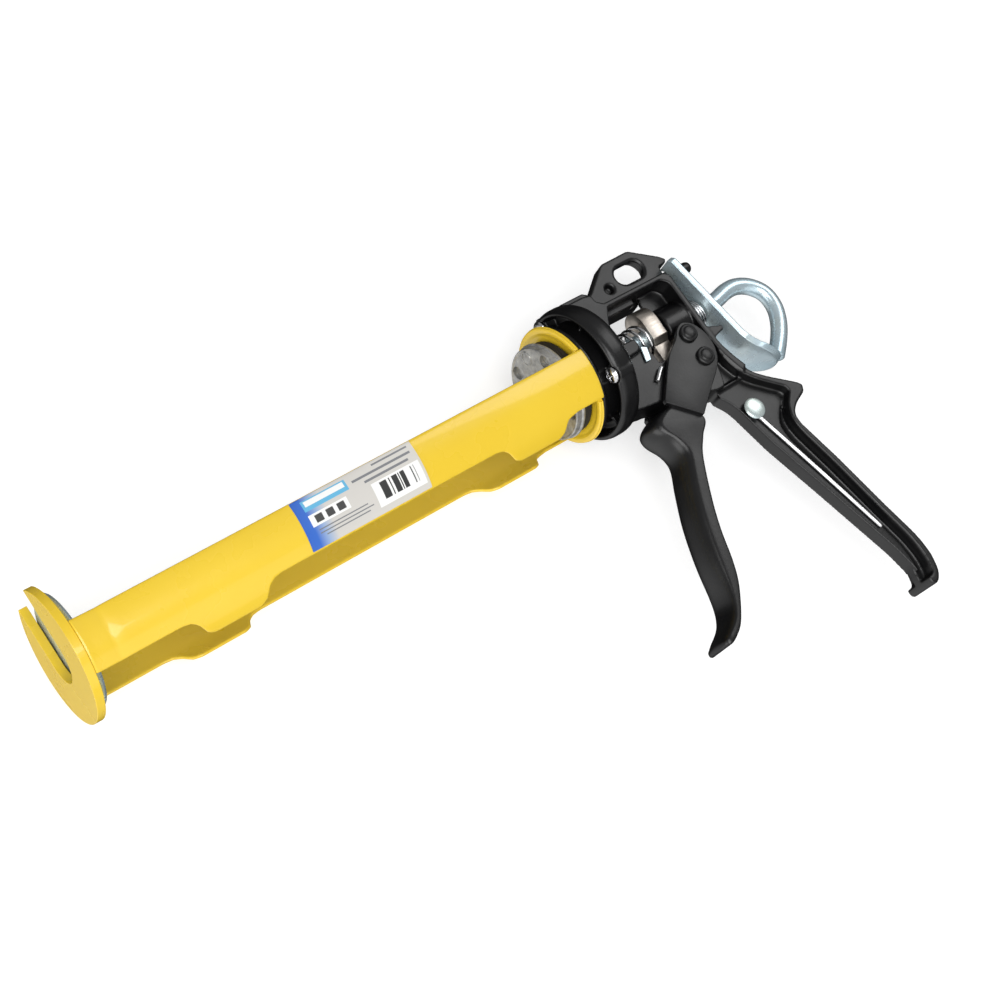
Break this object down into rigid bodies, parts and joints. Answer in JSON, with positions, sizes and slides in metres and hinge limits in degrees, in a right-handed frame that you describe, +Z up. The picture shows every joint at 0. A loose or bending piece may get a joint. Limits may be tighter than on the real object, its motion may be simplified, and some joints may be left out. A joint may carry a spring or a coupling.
{
  "type": "caulking gun",
  "caption": "Caulking gun with an open half-round cartridge cradle, a friction thrust drive, a squeeze trigger, a hooked push rod and a thumb release plate.",
  "frame": {"origin": "Under the middle of the gun, on the table plane it lies on with its right side down.", "axes": "+X runs to the rear along the push rod, +Y points to the side of the hang plate, so the grip and trigger point to -Y, and +Z is up, the gun's left side."},
  "size_m": [0.3478, 0.188, 0.0582],
  "materials": {
    "yellow_paint": "glossy yellow enamel on sheet steel",
    "black_paint": "satin black paint on cast alloy",
    "zinc_plate": "bright zinc plate with a blue tint",
    "cast_alloy": "bare grey casting",
    "brushed_steel": "ground steel",
    "bright_steel": "bright spring wire and plated fasteners",
    "black_rubber": "matt black rubber",
    "label_film": "printed self-adhesive film"
  },
  "bodies": {
    "frame": {"body_casting": "black_paint", "hub_disc": "cast_alloy", "hub_seal": "black_rubber", "screw_1": "bright_steel", "screw_2": "bright_steel", "screw_3": "bright_steel", "pivot_pin": "black_paint", "needle_rivet": "bright_steel", "spring_clip": "zinc_plate", "spring_leg": "bright_steel", "drive_spring": "bright_steel", "release_spring": "bright_steel"},
    "cradle": {"front_plate": "yellow_paint", "left_wall": "yellow_paint", "right_wall": "yellow_paint", "rear_ring": "yellow_paint", "product_label": "label_film"},
    "trigger": {"trigger": "black_paint", "drive_pin": "black_paint", "drive_roller": "brushed_steel"},
    "drive": {"drive_block": "brushed_steel"},
    "rod": {"push_rod": "zinc_plate", "plunger_disc": "zinc_plate", "plunger_nut": "zinc_plate"},
    "release": {"release_plate": "zinc_plate"},
    "needle": {"piercing_needle": "bright_steel"}
  },
  "joints": [
    {"name": "cradle_spin", "type": "hinge", "parent": "frame", "child": "cradle", "pos_m": [0.05611, 0.05695, 0.0291], "axis": [1, 0, 0], "continuous": true},
    {"name": "trigger_pivot", "type": "hinge", "parent": "frame", "child": "trigger", "pos_m": [0.11611, 0.03615, 0.0291], "axis": [0, 0, 1], "range_deg": [0, 24], "stiffness_Nm_per_rad": 1, "springref_deg": -17.19},
    {"name": "drive_block_slide", "type": "slide", "parent": "frame", "child": "drive", "axis": [-1, 0, 0], "range_m": [0, 0.0052], "deforming": ["drive_spring"]},
    {"name": "rod_slide", "type": "slide", "parent": "frame", "child": "rod", "axis": [1, 0, 0], "range_m": [0, 0.208]},
    {"name": "release_tilt", "type": "hinge", "parent": "frame", "child": "release", "pos_m": [0.13211, 0.07635, 0.0291], "axis": [0, 0, -1], "range_deg": [0, 2.4], "stiffness_Nm_per_rad": 0.6, "springref_deg": -14.32, "deforming": ["release_spring"]},
    {"name": "needle_swing", "type": "hinge", "parent": "frame", "child": "needle", "pos_m": [0.12491, 0.00765, 0.03395], "axis": [0, 0, -1], "range_deg": [0, 22]}
  ],
  "couplings": [
    {"joint": "drive_block_slide", "follows": "trigger_pivot", "m_per_rad": 0.0119}
  ]
}
